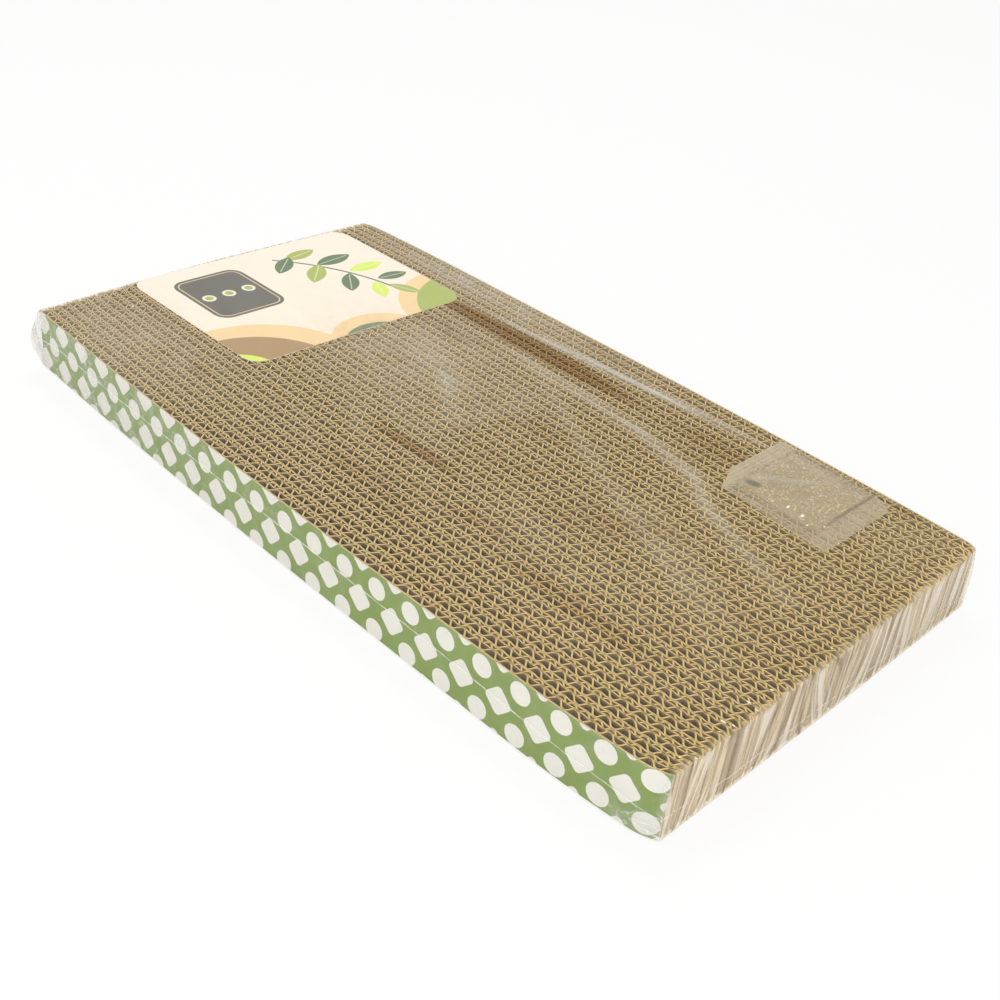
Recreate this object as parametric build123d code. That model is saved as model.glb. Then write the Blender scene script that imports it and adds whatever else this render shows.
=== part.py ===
from build123d import *
import math
import os

# Corrugated scratching pad in shrink film. Millimetres, +Z up, +X along the strips.
# The front is at -Y, and the origin is at the middle of the underside.

# Double-wall board: liner, large flutes, liner, small flutes, liner
liner_caliper = 0.3
medium_caliper = 0.3
large_flute_height = 3.55
large_flute_pitch = 9.1
small_flute_height = 1.95
small_flute_pitch = 6.1

# Half the foot that the medium sets on a liner, as a share of the medium's caliper
foot_share = 0.4

# Strips of that board, on edge
strip_count = 39
strip_length = 470.0
strip_height = 35.0
end_stagger = 0.5
# Each strip is cut at another place along its flutes
large_phase_share = 0.382
small_phase_share = 0.618
stagger_turn_share = 0.29

# Glue between strips
glue_gap = 0.09
glue_line_height = 4.0
# Straight runs of a side that the glue leaves free at each end
glue_free_runs = 4
glue_line_level_shares = (0.25, 0.75)

# Printed sheets on the long sides
sheet_caliper = 0.4

# The film pulls the corners inwards across the strips
front_left_pull = 7.2
front_right_pull = 4.6
rear_left_pull = 2.3
rear_right_pull = 6.8
# How far along the pad each of those pulls reaches
front_left_reach = 300.0
front_right_reach = 75.0
rear_left_reach = 90.0
rear_right_reach = 235.0
# The film also draws the strips in at their ends, most at the corners
front_left_draw = 6.3
front_right_draw = 0.6
rear_left_draw = 0.6
rear_right_draw = 1.0
# How far along the pad those draws reach
draw_reach = 110.0
# The bent sides and ends are drawn as so many straight runs
side_runs = 24
end_runs = 8

# Label card on top, at the left end
label_length = 123.5
label_width = 158.5
label_caliper = 0.4
label_corner_radius = 11.0
label_end_inset = 1.5
label_rear_inset = 27.5

# Catnip sachet on top, at the rear right: a four-sided pouch with two corners cut off
sachet_length = 74.0
sachet_width = 65.0
sachet_skew = 6.0
sachet_end_inset = 47.0
sachet_rear_inset = 3.5
sachet_ply_caliper = 0.12
sachet_pocket_height = 1.6
sachet_front_cut_length = 9.0
sachet_front_cut_width = 18.0
sachet_rear_cut_length = 12.0
sachet_rear_cut_width = 6.0
seal_left = 9.5
seal_right = 12.0
seal_front = 9.0
seal_rear = 5.0
fill_clearance = 0.15

# Shrink film
film_caliper = 0.25
film_clearance = 0.75
seam_height = 17.5
seam_bead_width = 0.6
seam_bead_height = 0.9

# Worked out from the sizes above
board_caliper = 3 * liner_caliper + large_flute_height + small_flute_height
strip_pitch = board_caliper + glue_gap
stack_width = strip_count * strip_pitch - glue_gap
pad_width = stack_width + 2 * (glue_gap + sheet_caliper)
half_length = strip_length / 2
half_width = pad_width / 2
block_base = film_caliper
block_top = block_base + strip_height
stations = [half_length * (2 * k / side_runs - 1) for k in range(1, side_runs)]

# For the front and the rear, at their left and right corners: pull, its reach, and draw
front_corners = (
    (front_left_pull, front_left_reach, front_left_draw),
    (front_right_pull, front_right_reach, front_right_draw),
)
rear_corners = (
    (rear_left_pull, rear_left_reach, rear_left_draw),
    (rear_right_pull, rear_right_reach, rear_right_draw),
)


def fade(distance, reach):
    """1 at an end of the pad, and 0 from the reach on."""
    return max(0, 1 - distance / reach) ** 2


def squeeze(x, y):
    """Moves a point of the plan as the film's pull at the corners does."""
    share = abs(y) / half_width
    left, right = front_corners if y < 0 else rear_corners
    from_left, from_right = half_length + x, half_length - x
    across = share**2 * (left[0] * fade(from_left, left[1]) + right[0] * fade(from_right, right[1]))
    along = share * (left[2] * fade(from_left, draw_reach) - right[2] * fade(from_right, draw_reach))
    return Vector(x + along, y - math.copysign(across, y))


def edge_along(y, first_x, last_x, inner_stations):
    """A side of a piece that runs the long way: straight runs from station to station."""
    return [squeeze(x, y) for x in (first_x, *inner_stations, last_x)]


def runs(points):
    return [Line(a, b) for a, b in zip(points, points[1:])]


def band(front_y, rear_y, first_x, last_x, inner_stations):
    """Plan face of a thin piece between two lines along the pad."""
    front = edge_along(front_y, first_x, last_x, inner_stations)
    rear = edge_along(rear_y, first_x, last_x, inner_stations)
    return Face(Wire(runs([*front, *reversed(rear), front[0]])))


def raised(face, low, high):
    """A plan face made a solid between two heights."""
    return Pos(0, 0, low) * extrude(face, high - low)


class Flutes:
    """One fluted row of a strip: three-sided cells that stand on both liners, half a pitch apart."""

    def __init__(self, pitch, low, high, phase):
        self.pitch = pitch
        self.low = low
        self.high = high
        self.phase = phase
        self.half_base = pitch / 2 - foot_share * medium_caliper
        self.rise = high - low - medium_caliper

    def level(self, on_low, height):
        """How far back a point lies that is so high above the liner that its cell stands on."""
        return self.low + height if on_low else self.high - height

    def centers(self, on_low):
        shift = self.phase + (0 if on_low else self.pitch / 2)
        count = math.ceil(half_length / self.pitch) + 1
        return [shift + k * self.pitch for k in range(-count, count + 1)]

    def closed_cells(self, left_x, right_x):
        """Wires of the cells that lie wholly between the strip's two ends."""
        cells = []
        for on_low in (True, False):
            for center in self.centers(on_low):
                if center - self.half_base > left_x and center + self.half_base < right_x:
                    base = self.level(on_low, 0)
                    tip = squeeze(center, self.level(on_low, self.rise))
                    foot = squeeze(center - self.half_base, base)
                    cells.append(Wire(runs([foot, tip, squeeze(center + self.half_base, base), foot])))
        return cells

    def open_cell(self, end_x, on_low):
        """Points of the cell that the strip's end cuts open, from its inner foot to the cut."""
        for center in self.centers(on_low):
            share = 1 - abs(center - end_x) / self.half_base
            if share > 0:
                foot = (center - math.copysign(self.half_base, end_x), self.level(on_low, 0))
                tip = (center, self.level(on_low, self.rise))
                cut = (end_x, self.level(on_low, share * self.rise))
                return [foot, tip, cut] if abs(center) < abs(end_x) else [foot, cut]
        return []


def end_path(rows, front_y, rear_y, end_x):
    """Plan outline of a strip's cut end, front to rear, with a notch for each cell that it cuts open."""
    path = [(end_x, front_y)]
    for flutes in rows:
        low_cell = flutes.open_cell(end_x, True)
        if low_cell:
            path += [(end_x, flutes.low), *low_cell]
        high_cell = flutes.open_cell(end_x, False)
        if high_cell:
            path += [*reversed(high_cell), (end_x, flutes.high)]
    path.append((end_x, rear_y))
    return [squeeze(*point) for point in path]


def strip(number):
    """One strip of double-wall board with its flutes open at the top, the underside and both ends."""
    front_y = -stack_width / 2 + number * strip_pitch
    rear_y = front_y + board_caliper
    turn = 2 * math.pi * stagger_turn_share * number
    left_x = -half_length + end_stagger * math.sin(turn)
    right_x = half_length + end_stagger * math.cos(turn)
    large_low = front_y + liner_caliper
    large_high = large_low + large_flute_height
    small_low = large_high + liner_caliper
    small_high = small_low + small_flute_height
    large_phase = large_flute_pitch * (large_phase_share * number % 1)
    small_phase = small_flute_pitch * (small_phase_share * number % 1)
    rows = [
        Flutes(large_flute_pitch, large_low, large_high, large_phase),
        Flutes(small_flute_pitch, small_low, small_high, small_phase),
    ]
    front = [squeeze(x, front_y) for x in stations]
    right = end_path(rows, front_y, rear_y, right_x)
    rear = [squeeze(x, rear_y) for x in reversed(stations)]
    left = end_path(rows, front_y, rear_y, left_x)[::-1]
    cells = [cell for flutes in rows for cell in flutes.closed_cells(left_x, right_x)]
    outline = Wire(runs([*front, *right, *rear, *left, front[0]]))
    return raised(Face(outline, cells), block_base, block_top)


def print_sheet(front_y):
    """Printed paper over a whole long side."""
    face = band(front_y, front_y + sheet_caliper, -half_length, half_length, stations)
    return raised(face, block_base, block_top)


def glue_lines():
    """Two lines of glue in each joint, also behind the printed sheets. They stop short of the ends."""
    glued = stations[glue_free_runs - 1 : side_runs - glue_free_runs]
    lines = []
    for joint in range(strip_count + 1):
        y = (joint - strip_count / 2) * strip_pitch
        line = band(y - glue_gap / 2, y + glue_gap / 2, glued[0], glued[-1], glued[1:-1])
        for level_share in glue_line_level_shares:
            low = block_base + level_share * strip_height - glue_line_height / 2
            lines.append(raised(line, low, low + glue_line_height))
    return Compound(children=lines)


def label_outline(margin):
    outline = RectangleRounded(
        label_length + 2 * margin,
        label_width + 2 * margin,
        label_corner_radius + margin,
    )
    center_x = -half_length + label_end_inset + label_length / 2
    center_y = half_width - label_rear_inset - label_width / 2
    return Pos(center_x, center_y, 0) * outline


def sachet_outline(left_margin, right_margin, front_margin, rear_margin):
    """Plan of the pouch, with each side moved out by its margin. Its front and rear sides slope alike."""
    left = half_length - sachet_end_inset - sachet_length - left_margin
    right = half_length - sachet_end_inset + right_margin
    slope = sachet_skew / sachet_length
    rear_left = half_width - sachet_rear_inset + rear_margin
    front_left = half_width - sachet_rear_inset - sachet_width - front_margin
    span = right - left

    def down(distance):
        return slope * distance

    front_knee = left + sachet_front_cut_length
    rear_knee = right - sachet_rear_cut_length
    points = [
        (left, front_left + sachet_front_cut_width),
        (front_knee, front_left - down(front_knee - left)),
        (right, front_left - down(span)),
        (right, rear_left - down(span) - sachet_rear_cut_width),
        (rear_knee, rear_left - down(rear_knee - left)),
        (left, rear_left),
    ]
    return make_face(Polyline(*points, close=True))


def pocket_outline(margin):
    return sachet_outline(margin - seal_left, margin - seal_right, margin - seal_front, margin - seal_rear)


def sachet_top_ply():
    """Upper ply of the pouch: a flat seal all round and a raised pocket."""
    seal_base = block_top + sachet_ply_caliper
    pocket_top = seal_base + sachet_pocket_height
    flat = raised(sachet_outline(0, 0, 0, 0), seal_base, seal_base + sachet_ply_caliper)
    shell = raised(pocket_outline(sachet_ply_caliper), seal_base, pocket_top + sachet_ply_caliper)
    return flat + shell - raised(pocket_outline(0), seal_base, pocket_top)


def film_outline(margin):
    """Plan of the film round the block, with all four sides moved out by the margin."""
    first_x, last_x = -half_length - margin, half_length + margin
    reach = half_width + margin
    cross = [reach * (2 * k / end_runs - 1) for k in range(1, end_runs)]
    front = edge_along(-reach, first_x, last_x, stations)
    right = [squeeze(last_x, y) for y in cross]
    rear = edge_along(reach, first_x, last_x, stations)
    left = [squeeze(first_x, y) for y in reversed(cross)]
    return Face(Wire(runs([*front, *right, *reversed(rear), *left, front[0]])))


def over_top_pieces(margin, cover):
    """What the upper film stands up over: the label card and the sachet."""
    label_top = block_top + label_caliper + cover
    sachet_top = block_top + 2 * sachet_ply_caliper + sachet_pocket_height + cover
    sachet = sachet_outline(margin, margin, margin, margin)
    return raised(label_outline(margin), block_base, label_top) + raised(sachet, block_base, sachet_top)


def film_upper():
    top = block_top + film_caliper
    wall = film_clearance + film_caliper
    outside = raised(film_outline(wall), seam_height, top) + over_top_pieces(wall, film_caliper)
    block_room = raised(film_outline(film_clearance), block_base, block_top)
    return outside - (block_room + over_top_pieces(film_clearance, 0))


def film_lower():
    outside = raised(film_outline(film_clearance + film_caliper), 0, seam_height)
    return outside - raised(film_outline(film_clearance), block_base, seam_height)


def film_seam():
    """Weld line round the pad, where the two layers of film meet."""
    wall = film_clearance + film_caliper
    ring = film_outline(wall + seam_bead_width) - film_outline(wall)
    low = seam_height - seam_bead_height / 2
    return raised(ring, low, low + seam_bead_height)


nodes = {f"strip_{number + 1:02d}": strip(number) for number in range(strip_count)}
nodes["front_print_sheet"] = print_sheet(-half_width)
nodes["rear_print_sheet"] = print_sheet(half_width - sheet_caliper)
nodes["glue_lines"] = glue_lines()
nodes["label_card"] = raised(label_outline(0), block_top, block_top + label_caliper)
nodes["sachet_base_ply"] = raised(sachet_outline(0, 0, 0, 0), block_top, block_top + sachet_ply_caliper)
nodes["sachet_top_ply"] = sachet_top_ply()
nodes["catnip_fill"] = raised(
    pocket_outline(-fill_clearance),
    block_top + sachet_ply_caliper,
    block_top + sachet_ply_caliper + sachet_pocket_height - fill_clearance,
)
nodes["film_upper"] = film_upper()
nodes["film_lower"] = film_lower()
nodes["film_seam"] = film_seam()

os.makedirs("parts", exist_ok=True)
for name, solid in nodes.items():
    export_step(solid, f"parts/{name}.step", write_pcurves=False)
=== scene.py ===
"""Dresses the frame of a corrugated scratching pad.

Board strips, printed sides, a label card, a sachet and shrink film, and the stage that shows them.
"""

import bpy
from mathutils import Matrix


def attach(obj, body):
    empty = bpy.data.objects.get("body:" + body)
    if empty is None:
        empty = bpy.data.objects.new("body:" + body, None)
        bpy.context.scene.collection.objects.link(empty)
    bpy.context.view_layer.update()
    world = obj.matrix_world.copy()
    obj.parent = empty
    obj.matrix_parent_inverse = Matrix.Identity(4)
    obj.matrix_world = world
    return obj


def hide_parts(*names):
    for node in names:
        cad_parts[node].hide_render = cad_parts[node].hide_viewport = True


bl_info = {
    "name": "Corrugated Scratching Pad",
    "version": (1, 0, 0),
    "blender": (4, 5, 0),
    "location": "View3D > Sidebar > Scratching Pad",
    "description": "Dresses the frame of a corrugated scratching pad in shrink film",
    "category": "Object",
}

import math
import random

import bmesh
import bpy
from bpy.props import FloatProperty, FloatVectorProperty, IntProperty, PointerProperty
from bpy.types import Operator, Panel, PropertyGroup
from mathutils import Matrix, Vector, noise

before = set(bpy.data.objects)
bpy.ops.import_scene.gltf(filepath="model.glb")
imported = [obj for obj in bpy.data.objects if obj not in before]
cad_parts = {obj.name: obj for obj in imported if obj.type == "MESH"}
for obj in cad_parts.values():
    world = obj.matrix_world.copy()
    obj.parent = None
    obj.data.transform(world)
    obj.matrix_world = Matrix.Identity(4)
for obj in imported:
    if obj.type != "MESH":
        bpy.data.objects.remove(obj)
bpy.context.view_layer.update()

# Sizes of the frame, in metres
MM = 0.001
PAD_LENGTH = 0.470
PAD_WIDTH = 0.254
HALF_LENGTH, HALF_WIDTH = PAD_LENGTH / 2, PAD_WIDTH / 2
BLOCK_BASE = 0.00025
BLOCK_TOP = 0.03525
# The film's pull at the left and right corners: how far in, how far along that reaches,
# and how far it draws the ends
FRONT_CORNERS = ((0.0072, 0.300, 0.0063), (0.0046, 0.075, 0.0006))
REAR_CORNERS = ((0.0023, 0.090, 0.0006), (0.0068, 0.235, 0.0010))
DRAW_REACH = 0.110
# The film also crushes the very corners round, by three sizes of the same kinds
FRONT_ROUND = ((0.0, 0.010, 0.0), (0.0027, 0.012, 0.0))
REAR_ROUND = ((0.0022, 0.010, 0.0), (0.0024, 0.008, 0.0016))
CRUSH_POWER = 8
STRIPS = sorted(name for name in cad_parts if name.startswith("strip_"))

WHITE = (1.0, 1.0, 1.0)
# Share of the light that clear film reflects when it is seen head on
HEAD_ON = 0.04
# Upright streaks of the ends: changes of lean per metre, and how far they lean
STREAK_WAVES, STREAK_LEAN = 26.0, 2.4


def srgb(*levels):
    """A colour as a screen shows it, 0 to 255, as the linear values that a shader takes."""
    shares = [level / 255 for level in levels]
    return tuple(c / 12.92 if c <= 0.04045 else ((c + 0.055) / 1.055) ** 2.4 for c in shares)


def darker(shade, share):
    return tuple(share * c for c in shade)


def clamp(value, low=0.0, high=1.0):
    return min(high, max(low, value))


def fade(distance, reach):
    """1 at an end of the pad, and 0 from the reach on."""
    return max(0.0, 1 - distance / reach) ** 2


def squeeze(x, y, hold=1.0, up=1.0):
    """Moves a point of the plan as the film's pull at the corners does.

    Low down, the rear corners are less crushed.
    """
    share = abs(y) / HALF_WIDTH
    from_left, from_right = HALF_LENGTH + x, HALF_LENGTH - x
    left, right = FRONT_CORNERS if y < 0 else REAR_CORNERS
    across = share * share * (left[0] * fade(from_left, left[1]) + right[0] * fade(from_right, right[1]))
    along = share * (left[2] * fade(from_left, DRAW_REACH) - right[2] * fade(from_right, DRAW_REACH))
    left, right = FRONT_ROUND if y < 0 else REAR_ROUND
    at_left, at_right = fade(from_left, left[1]), fade(from_right, right[1])
    crush = share ** CRUSH_POWER * (1.0 if y < 0 else clamp(up))
    across += crush * (left[0] * at_left + right[0] * at_right)
    along += crush * (left[2] * at_left - right[2] * at_right)
    return x + hold * along, y - hold * math.copysign(across, y)


def level(up):
    """Height of a share of the block."""
    return BLOCK_BASE + up * (BLOCK_TOP - BLOCK_BASE)


def bump(distance, width):
    """A smooth hill, 1 at no distance and 0 past a few widths."""
    return math.exp(-((distance / width) ** 2))


def rise(value, low, high):
    """0 below low and 1 above high, with a smooth step between."""
    share = clamp((value - low) / (high - low))
    return share * share * (3 - 2 * share)


def spread(x, y, spot, reach):
    """The square of how far a point of the plan lies from a spot, in the spot's half widths."""
    off_x, off_y = (x - spot[0]) / reach[0], (y - spot[1]) / reach[1]
    return off_x * off_x + off_y * off_y


def hill(x, y, spot, reach):
    """A smooth hill over a spot of the plan, 1 at its middle."""
    return math.exp(-spread(x, y, spot, reach))


def off_line(x, y, points):
    """How far a point of the plan lies from a line of points, and how far along that line, from 0 to 1."""
    here = Vector((x, y))
    best, at = math.inf, 0.0
    runs = len(points) - 1
    for k in range(runs):
        start, end = Vector(points[k]), Vector(points[k + 1])
        run = end - start
        share = clamp((here - start).dot(run) / run.length_squared)
        distance = (here - start - share * run).length
        if distance < best:
            best, at = distance, (k + share) / runs
    return best, at


def maths(operation, swapped=False):
    """A method of a socket that adds a Math node, with a second value where the operation takes one."""

    def method(self, *others):
        values = (*others, self) if swapped else (self, *others)
        return self.finish.node("Math", dict(enumerate(values)), operation=operation)

    return method


class Wire:
    """A shader socket whose Python operators add Math nodes."""

    def __init__(self, finish, socket):
        self.finish = finish
        self.socket = socket

    __add__ = maths("ADD")
    __sub__ = maths("SUBTRACT")
    __rsub__ = maths("SUBTRACT", swapped=True)
    __mul__ = maths("MULTIPLY")
    __truediv__ = maths("DIVIDE")
    __pow__ = maths("POWER")
    __abs__ = maths("ABSOLUTE")
    round = maths("ROUND")
    sine = maths("SINE")
    root = maths("SQRT")
    least = maths("MINIMUM")
    most = maths("MAXIMUM")

    def step(self, low, high):
        """0 below low and 1 above high, with a smooth step between."""
        inputs = {"Value": self, "From Min": low, "From Max": high}
        return self.finish.node("MapRange", inputs, interpolation_type="SMOOTHSTEP")


class Finish:
    """The nodes of a material, or of the world, in the making."""

    def __init__(self, name, kind="Material"):
        self.owner = (bpy.data.worlds if kind == "World" else bpy.data.materials).new(name)
        self.owner.use_nodes = True
        self.tree = self.owner.node_tree
        self.tree.nodes.clear()
        self.output = self.tree.nodes.new("ShaderNodeOutput" + kind)

    def node(self, kind, inputs=None, output=0, **settings):
        """Adds a node: first its settings, then its inputs by name or place. Gives one of its outputs."""
        node = self.tree.nodes.new("ShaderNode" + kind)
        for name, value in settings.items():
            setattr(node, name, value)
        for key, value in (inputs or {}).items():
            socket = node.inputs[key]
            if isinstance(value, Wire):
                self.tree.links.new(value.socket, socket)
            elif socket.type == "RGBA" and len(value) == 3:
                socket.default_value = (*value, 1)
            else:
                socket.default_value = value
        return Wire(self, node.outputs[output])

    def parts(self, vector):
        """The three parts of a vector."""
        node = self.node("SeparateXYZ", {0: vector}).socket.node
        return [Wire(self, socket) for socket in node.outputs]

    def place(self):
        """Object coordinates, and their three parts."""
        vector = self.node("TexCoord", output="Object")
        return vector, *self.parts(vector)

    def facing(self):
        """The three parts of the surface's own normal."""
        return self.parts(self.node("NewGeometry", output="Normal"))

    def noise(self, vector, scale, detail=2.0, roughness=0.5):
        """Noise of one scale, or of another scale along each axis."""
        if isinstance(scale, tuple):
            vector = self.node("VectorMath", {0: vector, 1: scale}, operation="MULTIPLY")
            scale = 1.0
        inputs = {"Vector": vector, "Scale": scale, "Detail": detail, "Roughness": roughness}
        return self.node("TexNoise", inputs)

    def leaning(self, vector, x, y, z):
        """Coordinates in which upright streaks of the ends lean a little, one way or the other."""
        lean = self.noise(vector, (0.0, STREAK_WAVES, 0.0), 1.0) - 0.5
        return self.node("CombineXYZ", {0: x, 1: y + (z - BLOCK_TOP / 2) * lean * STREAK_LEAN, 2: z})

    def attribute(self, name):
        return self.node("Attribute", output="Fac", attribute_name=name)

    def relief(self, height, strength, distance):
        return self.node("Bump", {"Height": height, "Strength": strength, "Distance": distance})

    def mix(self, share, first, second, blend="MIX"):
        """One colour into another."""
        settings = {"data_type": "RGBA", "clamp_factor": True, "blend_type": blend}
        return self.node("Mix", {"Factor": share, 6: first, 7: second}, 2, **settings)

    def blend(self, share, first, second):
        """One shader into another."""
        return self.node("MixShader", {0: share, 1: first, 2: second})

    def principled(self, **inputs):
        named = {name.replace("_", " ").title(): value for name, value in inputs.items()}
        return self.node("BsdfPrincipled", named)

    def film(self, milkiness, milky, tint=WHITE):
        """Clear film that is milky in places."""
        return self.blend(milkiness, self.node("BsdfTransparent", {"Color": tint}), milky)

    def glazed(self, body, share, roughness, relief):
        """A thin gloss over a shader, more where it is seen at a slant, alike from both sides."""
        slant = self.node("LayerWeight", {"Blend": 0.5, "Normal": relief}, "Facing")
        sheen = slant ** 5 * (1 - HEAD_ON) + HEAD_ON
        gloss = self.node("BsdfGlossy", {"Color": WHITE, "Roughness": roughness, "Normal": relief})
        return self.blend(sheen * share, body, gloss)

    def surface(self, shader):
        """Gives the finished material or world."""
        self.tree.links.new(shader.socket, self.output.inputs["Surface"])
        return self.owner


def spots(x, y, places):
    """1 inside any of some small spots of the plan, in millimetres: place and half widths."""
    nearest = 1.0
    for place in places:
        metres = [size * MM for size in place]
        nearest = spread(x, y, metres[:2], metres[2:]).least(nearest)
    return 1 - nearest.step(0.3, 1.0)


def dress(piece, material):
    piece.data.materials.clear()
    piece.data.materials.append(material)


def dress_node(name, material):
    """Gives a solid of the frame its finish."""
    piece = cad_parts[name]
    for slot in piece.material_slots:
        slot.link = "OBJECT"
        slot.material = material
    if not piece.material_slots:
        dress(piece, material)


def add(name, data):
    """Puts data into the scene as an object."""
    thing = bpy.data.objects.new(name, data)
    bpy.context.scene.collection.objects.link(thing)
    return thing


def add_mesh(name, shape, material):
    """Turns a finished bmesh into an object."""
    mesh = bpy.data.meshes.new(name)
    shape.to_mesh(mesh)
    shape.free()
    thing = add(name, mesh)
    dress(thing, material)
    return thing


def make_piece(name, shape, material, nodes, smooth_angle):
    """Turns a finished bmesh into a piece that rides on the pad and stands for its solids."""
    piece = add_mesh(name, shape, material)
    piece.data.shade_smooth()
    piece.data.set_sharp_from_angle(angle=math.radians(smooth_angle))
    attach(piece, "root")
    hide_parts(*nodes)
    return piece


def length(default, text):
    return FloatProperty(name=text, default=default, min=0, unit="LENGTH", precision=5)


def color(default, text):
    return FloatVectorProperty(name=text, default=srgb(*default), min=0, max=1, subtype="COLOR")


class BoardSettings(PropertyGroup):
    liner: length(0.0003, "Thickness of a liner")
    medium: length(0.0003, "Thickness of the fluted medium")
    large_height: length(0.00355, "Height of the large flutes")
    large_pitch: length(0.0091, "Length of one large flute")
    small_height: length(0.00195, "Height of the small flutes")
    small_pitch: length(0.0061, "Length of one small flute")
    glue_gap: length(0.00009, "Gap between neighbouring strips")
    stagger: length(0.00015, "How far the strips' ends step in and out")
    reach: length(0.0003, "How far the strips' ends reach past the printed sheets")
    drift: length(0.0010, "How far the flutes wander from an even pitch")
    washboard: length(0.00035, "How far the flutes push the liners out of line")
    fray: length(0.00044, "How much thicker the sawn paper edges look than the paper")
    lean: FloatProperty(name="Share of a flute that rises", default=0.45, min=0.2, max=0.8)
    cut_color: color((211, 185, 127), "Sawn paper edges")
    right_color: color((214, 183, 108), "Sawn edges towards the right")
    # Painted shade: the flutes' walls darken to this colour deep inside
    deep_shade_color: color((72, 60, 44), "Colour deep inside the flutes")
    lip_color: color((134, 108, 70), "Flutes' walls near the top and the underside")
    tight_color: color((204, 176, 106), "Tint of the board where the film lies tight on it")
    # The strips' ends: paper painted paler, partly for the light on them, with pale streaks of painted sheen
    # off the film's pleats and dark streaks of painted shadow between the pleats
    end_color: color((230, 213, 182), "Paper at the strips' ends")
    pale_sheen_color: color((250, 241, 222), "Pale streaks of the strips' ends")
    shadow_color: color((140, 118, 84), "Dark streaks of the strips' ends")


class PrintSettings(PropertyGroup):
    period: length(0.02213, "Distance between neighbouring dots")
    row: length(0.0114, "Distance between a row of dots and a row of diamonds")
    dot: length(0.0056, "Radius of a dot")
    diamond: length(0.00725, "Half of a diamond, point to point")
    thickness: length(0.0004, "Thickness of the printed paper")
    green: color((121, 143, 66), "Ground of the print")
    white: color((221, 218, 210), "Dots and diamonds")
    edge_color: color((205, 178, 128), "Cut edges of the printed paper")
    glue_color: color((222, 208, 178), "Thin dried glue")
    thick_color: color((196, 176, 138), "Thick dried glue")


class LabelSettings(PropertyGroup):
    cream: color((250, 240, 222), "Ground of the label")
    peach: color((248, 216, 158), "Light hills")
    brown: color((170, 134, 84), "Brown hills")
    grey: color((84, 82, 75), "Dark panel")
    green: color((78, 112, 64), "Dark leaves")
    olive: color((168, 184, 76), "Pale leaves")
    lime: color((220, 242, 90), "Bright leaves")


class SachetSettings(PropertyGroup):
    flakes: IntProperty(name="Loose flakes on the fill", default=2400, min=0)
    herb: color((175, 159, 126), "Main colour of the dried herb")
    dark_herb: color((142, 122, 86), "Dark bits of the herb")
    pale_herb: color((232, 214, 166), "Pale bits of the herb")
    clump_color: color((48, 36, 18), "Dark clump near the pocket's left end")
    clear_color: color((250, 248, 242), "Tint of the clear film")
    seal_color: color((220, 202, 160), "Welded film")
    # Painted shade along the fold by the right seal
    fold_shade_color: color((108, 80, 38), "Fold along the right seal")
    streak_color: color((218, 212, 198), "Pale streak across the pocket")
    glint_color: color((255, 254, 250), "Glints on the pouch")


class FilmSettings(PropertyGroup):
    clearance: length(0.0009, "How far the film stands off the block's sides")
    cell: length(0.003, "Size of the film's mesh")
    # White of the milky film, and of the painted reflections along the creases over the top
    haze_and_sheen_color: color((236, 236, 230), "Stretched and creased film")
    warm_color: color((240, 228, 200), "Thin haze over the board")
    end_color: color((238, 218, 180), "Film over the ends")
    # Painted reflections on the film's pleats over the ends, and painted shadow in the gaps between them
    pleat_sheen_color: color((250, 240, 220), "Pleats over the ends")
    pleat_shadow_color: color((150, 122, 80), "Colour between the pleats over the ends")
    weld_color: color((255, 255, 250), "Welded line")


class StageSettings(PropertyGroup):
    floor_color: color((247, 247, 247), "Floor")
    daylight: FloatProperty(name="Light from all round", default=0.64, min=0)


# Places where the film lies tight on the board, which shows darker there: centre, half widths, share
TIGHT_SPOTS = (
    ((-0.044, 0.088), (0.085, 0.009), 1.45),
    ((0.005, -0.044), (0.030, 0.005), 0.7),
    ((0.140, -0.074), (0.050, 0.007), 0.35),
    ((-0.122, -0.086), (0.009, 0.006), 0.35),
    ((0.195, 0.120), (0.010, 0.006), 0.4),
    ((0.100, 0.088), (0.035, 0.010), 0.4),
)


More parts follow.
